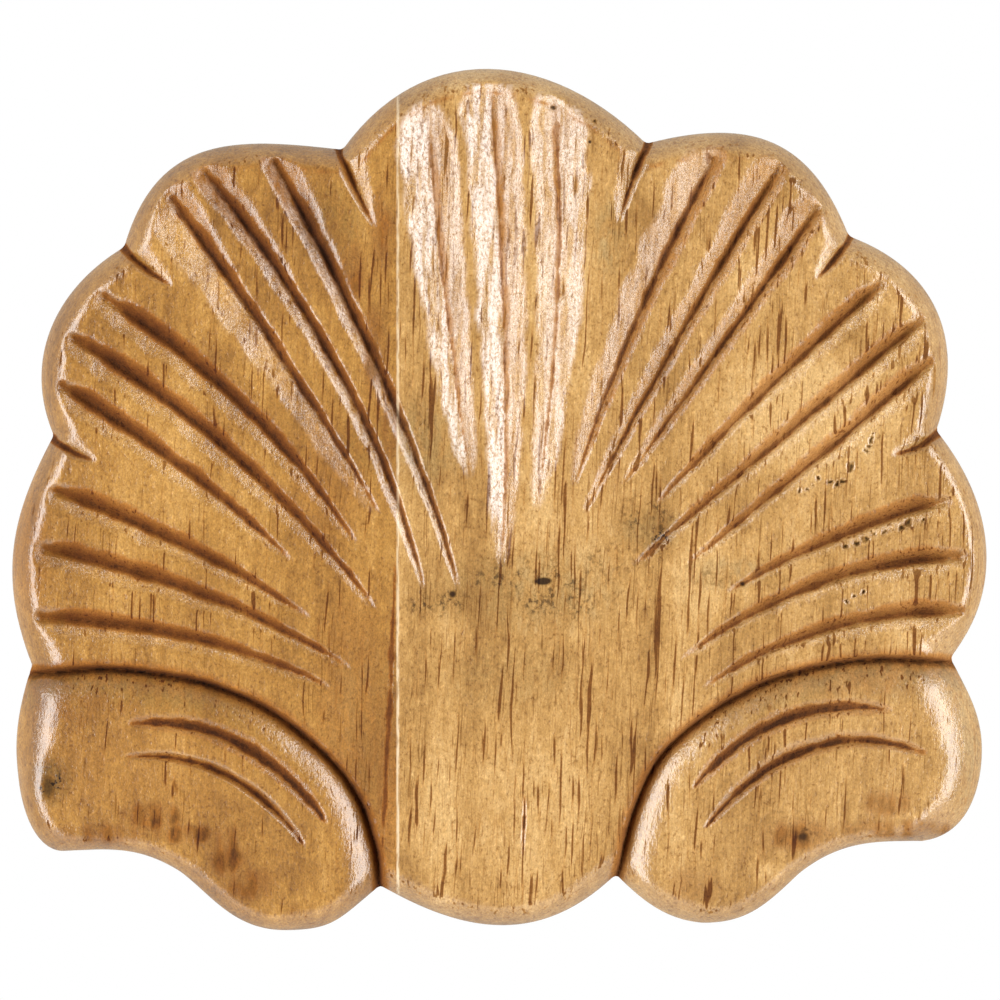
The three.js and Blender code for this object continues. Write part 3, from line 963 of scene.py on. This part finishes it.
# %% Node helpers
def add(tree, kind, inputs=(), **settings):
    """Add a shader node. An input is a value, or another node's output to link."""
    made = tree.nodes.new("ShaderNode" + kind)
    for name, value in settings.items():
        setattr(made, name, value)
    for name, value in dict(inputs).items():
        if isinstance(value, bpy.types.NodeSocket):
            tree.links.new(value, made.inputs[name])
        else:
            made.inputs[name].default_value = value
    return made


def calc(tree, operation, *values):
    return add(tree, "Math", dict(enumerate(values)), operation=operation).outputs["Value"]


def product(tree, result, *factors):
    for factor in factors:
        result = calc(tree, "MULTIPLY", result, factor)
    return result


def weighted(tree, *parts):
    """The sum of several values, each times its weight."""
    total = 0
    for value, weight in parts:
        total = calc(tree, "ADD", total, calc(tree, "MULTIPLY", value, weight))
    return total


def graded(tree, value, low, high, to_low=0.0, to_high=1.0):
    """The value, moved from one range to another and kept inside it."""
    inputs = {"Value": value, "From Min": low, "From Max": high, "To Min": to_low, "To Max": to_high}
    return add(tree, "MapRange", inputs, interpolation_type="SMOOTHSTEP").outputs["Result"]


def noise_at(tree, place, across, along, detail, roughness=0.5):
    """Noise stretched along the grain. It has this many cells in a millimetre across and along it."""
    stretched = add(tree, "Mapping", {"Vector": place, "Scale": (across, across, along)})
    inputs = {"Vector": stretched.outputs["Vector"], "Scale": 1.0, "Detail": detail, "Roughness": roughness}
    return add(tree, "TexNoise", inputs).outputs["Fac"]


def attribute(tree, name):
    return add(tree, "Attribute", attribute_name=name).outputs["Fac"]


# %% [markdown]
# Colours need three helpers more. `blended` lays one colour over another, as paint does. `glazed`
# multiplies a colour by a tint, which is how a stain or a glaze works, since it only takes light away.
# `tinted` looks a value up on a ramp of colours.

# %% Colour helpers
def blended(tree, factor, first, second, blend_type="MIX"):
    """Colours come in the sockets 6 and 7 of a Mix node, and leave by its third output."""
    made = add(tree, "Mix", {0: factor, 6: first, 7: second}, data_type="RGBA", blend_type=blend_type)
    return made.outputs[2]


def glazed(tree, colour, tint, factor=1.0):
    return blended(tree, factor, colour, tint, "MULTIPLY")


def tinted(tree, amount, stops):
    ramp = add(tree, "ValToRGB", {"Fac": amount})
    elements = ramp.color_ramp.elements
    while len(elements) < len(stops):
        elements.new(0.5)
    for element, (position, colour) in zip(elements, stops):
        element.position = position
        element.color = colour
    return ramp.outputs["Color"]


# %% [markdown]
# ## Wood
#
# The wood is a ring-porous tropical hardwood. Its grain runs upwards and leans a little. Broad soft
# bands of tone come from the growth rings, fine streaks from the fibres, and short dark dashes where
# the face cuts an open vessel. All of it reads Object coordinates in millimetres, so it runs through
# the board as real grain does and shows end grain on the top and bottom by itself. Each board has
# its own shift, because the two boards come from different places in the tree.

# %% Grain
GRAIN_LEAN = 0.046  # the grain moves this far sideways for each unit up
TONE_PLACES = (0.36, 0.46, 0.54, 0.64)  # where on the range of tones a board's four colours stand
# Tints of the flecks. The darker ones are the wood's own; the palest are lifted above the wood's colour and
# bluish white, painted glints of the lacquer.
FLECK_AND_GLINT_TINTS = [
    (0.30, (0.60, 0.50, 0.38, 1)),
    (0.42, (0.92, 0.90, 0.87, 1)),
    (0.60, (1.0, 1.0, 1.0, 1)),
    (0.72, (1.25, 1.27, 1.35, 1)),
]
STREAK_TINT = (0.62, 0.52, 0.40, 1)


def grain_place(tree, shift):
    """Object coordinates in millimetres, turned until the grain is upright."""
    inputs = {
        "Vector": add(tree, "TexCoord").outputs["Object"],
        "Location": shift,
        "Rotation": (0, -math.atan(GRAIN_LEAN), 0),
        "Scale": (1 / MM, 1 / MM, 1 / MM),
    }
    return add(tree, "Mapping", inputs).outputs["Vector"]


def grained(tree, place, mottle, specks, tones, streaky, grainy):
    """The stained board's colour. The tones run from the darkest streak to the palest."""
    rings = noise_at(tree, place, 0.32, 0.022, 2)
    clouds = noise_at(tree, place, 0.16, 0.12, 1)
    fibres = noise_at(tree, place, 5.5, 0.5, 2, 0.6)
    fair = attribute(tree, "fair")
    tone = weighted(tree, (rings, 0.34), (clouds, 0.22), (mottle, 0.30), (fibres, 0.14), (fair, 0.35))
    colour = tinted(tree, tone, [(p, (*c, 1)) for p, c in zip(TONE_PLACES, tones)])
    colour = glazed(tree, colour, tinted(tree, specks, FLECK_AND_GLINT_TINTS))
    grit = noise_at(tree, place, 8.0, 5.5, 1, 0.5)
    grit = graded(tree, grit, 0.35, 0.65, 1 - grainy, 1 + grainy)
    grey = add(tree, "CombineXYZ", {"X": grit, "Y": grit, "Z": grit})
    colour = glazed(tree, colour, grey.outputs["Vector"])
    streaks = noise_at(tree, place, 7.0, 0.35, 1, 0.6)
    return glazed(tree, colour, STREAK_TINT, graded(tree, streaks, 0.62, 0.36, 0, streaky))


# %% [markdown]
# The vessels are noise too, drawn out along the grain and cut off at a level, so that only its peaks
# are left. A slow wave bends them a little, and the growth rings move the level, so they stand in
# groups. Glaze fills them, and a faint brown halo shows where it soaked in. Most of them are smeared
# shut on the sloping rim, and some on the walls of the cuts.

# %% Open vessels
HALO_TINT = (0.84, 0.70, 0.50, 1)
VESSEL_TINT = (0.36, 0.25, 0.15, 1)
HALO = 0.55


def vessels(tree, place, density):
    """1 in an open vessel, 0 elsewhere, and a wide faint streak round it."""
    wave = product(tree, noise_at(tree, place, 0.5, 0.25, 1), 0.35)
    sideways = add(tree, "CombineXYZ", {"X": wave}).outputs["Vector"]
    place = add(tree, "VectorMath", {0: place, 1: sideways}).outputs["Vector"]
    rings = noise_at(tree, place, 0.5, 0.03, 1)
    crowd = graded(tree, rings, 0.35, 0.65, 0.04, -0.04)
    level = calc(tree, "ADD", crowd, 0.715 - 0.045 * density)
    thick = calc(tree, "SUBTRACT", noise_at(tree, place, 3.3, 0.15, 1, 0.4), level)
    thin = calc(tree, "SUBTRACT", noise_at(tree, place, 6.5, 0.24, 1, 0.4), level)
    thin = graded(tree, thin, 0, 0.05, 0, 0.6)
    return calc(tree, "MAXIMUM", graded(tree, thick, -0.01, 0.04), thin), graded(tree, thick, -0.08, 0.02)


def with_vessels(tree, place, colour, density):
    """The colour with the vessels in it, and how open they are."""
    holes, halo = vessels(tree, place, density)
    uncut = calc(tree, "SUBTRACT", 1, product(tree, attribute(tree, "rim"), 0.85))
    uncut = calc(tree, "SUBTRACT", uncut, product(tree, attribute(tree, "torn"), 0.35))
    holes = product(tree, holes, uncut)
    colour = glazed(tree, colour, HALO_TINT, product(tree, halo, HALO))
    return glazed(tree, colour, VESSEL_TINT, holes), holes


# %% [markdown]
# ## Finish
#
# The wood was stained honey brown. Then a dark glaze was wiped on and off, which stayed in the cuts and in
# the vessels. The top edges are made darker and greyer. Beside the channels the glaze and a grey film also
# carry painted shade where a scroll's cushion faces up. On some walls of the cuts a pale pinkish tint,
# broken in streaks along the grain, is a painted sheen for the shine of the lights. The glue shows between
# the boards as a thin pale line.

# %% Finish
# Tints of the glaze, which also darken the broad painted shade on the scroll cushions beside the channels.
GLAZE_AND_SHADE_TINTS = [
    (0.0, (1, 1, 1, 1)),
    (0.3, (0.77, 0.60, 0.44, 1)),
    (0.62, (0.44, 0.27, 0.18, 1)),
    (1.0, (0.15, 0.085, 0.06, 1)),
]
GRIME_TINTS = [
    (0.0, (1, 1, 1, 1)),
    (0.3, (0.74, 0.70, 0.62, 1)),
    (1.0, (0.08, 0.06, 0.04, 1)),
]
# The grey of the film, which also greys the painted shade on the scroll cushions and on the right scroll's
# outer side.
FILM_AND_SHADE_TINT = (0.52, 0.57, 0.60, 1)
# A pale pinkish tint laid on the easy walls of the cuts: a painted sheen that stands in for the shine of
# the lights.
SHEEN_TINT = (0.77, 0.66, 0.59, 1)
CREAM = (0.66, 0.52, 0.34, 1)
GLUE_HALF_WIDTH = 0.17 * MM
GLUE_FADES = (-7 * MM, -13 * MM)  # the line is fainter above the first height than below the second


def glue_line(tree, broken):
    """1 on the line of glue, which shows best at the foot and has small gaps."""
    place = add(tree, "SeparateXYZ", {"Vector": add(tree, "TexCoord").outputs["Object"]})
    away = calc(tree, "ABSOLUTE", calc(tree, "SUBTRACT", place.outputs["X"], GLUE_LINE * MM))
    line = graded(tree, away, 0.3 * GLUE_HALF_WIDTH, GLUE_HALF_WIDTH, 1, 0)
    low = graded(tree, place.outputs["Z"], *GLUE_FADES, 0.66, 0.85)
    return product(tree, line, low, graded(tree, broken, 0.38, 0.55, 0.35, 1))


def finished(tree, place, colour, mottle, specks, golden):
    """The colour with its painted sheen, under its glaze, film and grime, and how thick the glaze lies."""
    # Painted sheen: the pale tint, broken in streaks along the grain, goes where the attribute pale says.
    sheen_streaks = product(tree, golden, graded(tree, specks, 0.36, 0.58, 0.3, 1.25))
    colour = blended(tree, product(tree, attribute(tree, "pale"), sheen_streaks), colour, SHEEN_TINT)
    ragged = graded(tree, mottle, 0.3, 0.7, 0.78, 1.14)
    ragged = product(tree, ragged, graded(tree, specks, 0.3, 0.7, 0.82, 1.12))
    glaze = product(tree, attribute(tree, "glaze"), ragged)
    colour = glazed(tree, colour, tinted(tree, glaze, GLAZE_AND_SHADE_TINTS))
    film = product(tree, attribute(tree, "film"), graded(tree, mottle, 0.38, 0.62, 0.25, 1.6))
    colour = glazed(tree, colour, FILM_AND_SHADE_TINT, film)
    dust = graded(tree, noise_at(tree, place, 2.8, 2.3, 2, 0.65), 0.44, 0.68, 0.25, 1.9)
    drifts = graded(tree, noise_at(tree, place, 0.8, 0.7, 1, 0.6), 0.4, 0.6, 0.3, 1.2)
    grime = product(tree, attribute(tree, "grime"), product(tree, dust, drifts))
    grime = calc(tree, "MAXIMUM", grime, attribute(tree, "spot"))
    colour = glazed(tree, colour, tinted(tree, grime, GRIME_TINTS))
    return blended(tree, glue_line(tree, mottle), colour, CREAM), glaze


# %% [markdown]
# The lacquer over it all is half glossy. It is the shader's coat, over a bump as fine as the pores of
# the wood. The bump is stronger on the walls of the cuts, which glitter because their fibres are torn.
# Where glaze or dirt lies thick the coat is left out, as dirt is dull.

# %% Lacquer
BUMP_HEIGHT = 0.10 * MM
FACE_GRAIN = 0.12  # how much the finest grain shows in the bump of the uncut face


def lacquered(tree, shader, place, mottle, specks, matte, golden, crumbly):
    """Give the shader its bump, and its coat where the surface is clean."""
    grains = noise_at(tree, place, 9.0, 5.5, 1, 0.6)
    torn = attribute(tree, "torn")
    rough = calc(tree, "ADD", FACE_GRAIN, product(tree, torn, crumbly))
    height = weighted(tree, (specks, 0.4), (mottle, 0.5), (grains, rough))
    bump = add(tree, "Bump", {"Height": height, "Strength": 1.0, "Distance": BUMP_HEIGHT})
    dull = product(tree, torn, calc(tree, "SUBTRACT", 1, golden), 0.4)
    clean = product(tree, graded(tree, matte, 0.08, 0.34, 1, 0), calc(tree, "SUBTRACT", 1, dull))
    roughness = calc(tree, "SUBTRACT", 0.85, product(tree, clean, 0.4))
    tree.links.new(bump.outputs["Normal"], shader.inputs["Normal"])
    tree.links.new(bump.outputs["Normal"], shader.inputs["Coat Normal"])
    tree.links.new(clean, shader.inputs["Coat Weight"])
    tree.links.new(roughness, shader.inputs["Roughness"])


def wood(name, tones, shift, density, streaky, grainy, crumbly, coat_roughness):
    material = bpy.data.materials.new(name)
    material.use_nodes = True
    tree = material.node_tree
    shader = tree.nodes["Principled BSDF"]
    place = grain_place(tree, shift)
    mottle = noise_at(tree, place, 1.5, 0.7, 2, 0.6)
    specks = noise_at(tree, place, 4.2, 3.0, 2, 0.65)
    golden = graded(tree, noise_at(tree, place, 1.6, 0.14, 1, 0.6), 0.34, 0.58)

    colour = grained(tree, place, mottle, specks, tones, streaky, grainy)
    colour, holes = with_vessels(tree, place, colour, density)
    colour, glaze = finished(tree, place, colour, mottle, specks, golden)
    tree.links.new(colour, shader.inputs["Base Color"])
    matte = calc(tree, "MAXIMUM", calc(tree, "MAXIMUM", glaze, holes), attribute(tree, "spot"))
    lacquered(tree, shader, place, mottle, specks, matte, golden, crumbly)
    shader.inputs["Specular IOR Level"].default_value = 0.2
    shader.inputs["Coat IOR"].default_value = 1.8
    shader.inputs["Coat Roughness"].default_value = coat_roughness
    return material


# %% [markdown]
# The left board is browner and quieter. The right one is more golden, with more open vessels and
# stronger streaks.

# %% The two woods
left_wood = wood(
    "left board, stained",
    tones=[(0.19, 0.083, 0.016), (0.285, 0.134, 0.026), (0.36, 0.180, 0.038), (0.445, 0.240, 0.062)],
    shift=(3.0, 0.0, 0.0),
    density=0.45,
    streaky=0.1,
    grainy=0.12,
    crumbly=0.5,
    coat_roughness=0.21,
)
right_wood = wood(
    "right board, stained",
    tones=[(0.27, 0.136, 0.034), (0.375, 0.206, 0.060), (0.455, 0.262, 0.085), (0.545, 0.342, 0.134)],
    shift=(0.0, 5.0, 9.0),
    density=1.3,
    streaky=0.24,
    grainy=0.1,
    crumbly=0.8,
    coat_roughness=0.22,
)
left_carving.data.materials.append(left_wood)
right_carving.data.materials.append(right_wood)
print(left_wood.name, "and", right_wood.name, "with", len(left_wood.node_tree.nodes), "nodes each")

# %% Tell the frame about the boards
for piece, node, slot in [
    (left_carving, "left_board", "left_wood"),
    (right_carving, "right_board", "right_wood"),
]:
    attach(piece, "root")
    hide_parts(node)
    print(piece.name, "replaces", node)

# %% [markdown]
# ## Studio
#
# The ornament was photographed from straight ahead against white, between two large soft lights.
# They stand well to the sides, so their shine lies on the slopes of the cuts and not on the flat face. The
# camera stands a metre away with a long lens.

# %% Camera
CAMERA_DISTANCE = 1.0
SENSOR = 36.0
FRAME_WIDTH = 82.01 * MM  # what the picture spans at the depth of the outline
OUTLINE_DEPTH = 10.0 * MM
AIM = Vector((0.06 * MM, 0, -0.05 * MM))

camera_data = bpy.data.cameras.new("camera")
camera_data.sensor_width = SENSOR
camera_data.lens = SENSOR * (CAMERA_DISTANCE - OUTLINE_DEPTH) / FRAME_WIDTH
camera_data.clip_start = 0.01
camera = in_scene("camera", camera_data)
camera.location = AIM + Vector((0, -CAMERA_DISTANCE, 0))
camera.rotation_euler = (math.pi / 2, 0, 0)
bpy.context.scene.camera = camera
print(f"a lens of {camera_data.lens:.0f} mm")


# %% Lights
def softbox(name, place, width, height, watts):
    data = bpy.data.lights.new(name, "AREA")
    data.shape = "RECTANGLE"
    data.size = width
    data.size_y = height
    data.energy = watts
    light = in_scene(name, data)
    light.location = place
    light.rotation_euler = (-Vector(place)).to_track_quat("-Z", "Y").to_euler()
    print(name, watts, "watts")


softbox("left softbox", (-0.62, -0.50, 0.05), 0.52, 1.0, 9.5)
softbox("right softbox", (0.62, -0.50, 0.05), 0.50, 1.0, 9.0)


# %% [markdown]
# The world is white to the camera, as the photograph's ground is. To the wood it is a grey room. It is
# almost dark behind the camera, so that the flat face mirrors nothing, and a little darker overhead
# than below, so that the top edges stay brown.

# %% World
def white_room():
    world = bpy.data.worlds.new("white room")
    world.use_nodes = True
    tree = world.node_tree
    background = tree.nodes["Background"]
    way = add(tree, "SeparateXYZ", {"Vector": add(tree, "TexCoord").outputs["Generated"]})
    aside = graded(tree, way.outputs["Y"], -0.88, -0.15)
    up = graded(tree, way.outputs["Z"], -1, 1)
    room = tinted(tree, up, [(0.0, (0.78, 0.68, 0.57, 1)), (1.0, (0.66, 0.63, 0.58, 1))])
    room = blended(tree, aside, (0.03, 0.03, 0.03, 1), room)
    seen = add(tree, "LightPath").outputs["Is Camera Ray"]
    tree.links.new(blended(tree, seen, room, (1, 1, 1, 1)), background.inputs["Color"])
    bpy.context.scene.world = world


white_room()
bpy.context.scene.view_settings.view_transform = "Standard"
print("world:", bpy.context.scene.world.name)

# %% Floor
FLOOR_HALF_SIZE = 1.5
FLOOR_PLACE = (0, -0.35, -0.55)


def pale_paper():
    paper = bpy.data.materials.new("pale paper")
    paper.use_nodes = True
    shader = paper.node_tree.nodes["Principled BSDF"]
    shader.inputs["Base Color"].default_value = (0.80, 0.79, 0.77, 1)
    shader.inputs["Roughness"].default_value = 0.9
    return paper


def pale_floor():
    bm = bmesh.new()
    bmesh.ops.create_grid(bm, x_segments=1, y_segments=1, size=FLOOR_HALF_SIZE)
    bmesh.ops.translate(bm, verts=bm.verts[:], vec=FLOOR_PLACE)
    mesh = mesh_of(bm, "floor")
    mesh.materials.append(pale_paper())
    return in_scene("floor", mesh)


pale_floor()
print("floor:", 2 * FLOOR_HALF_SIZE, "metres across")
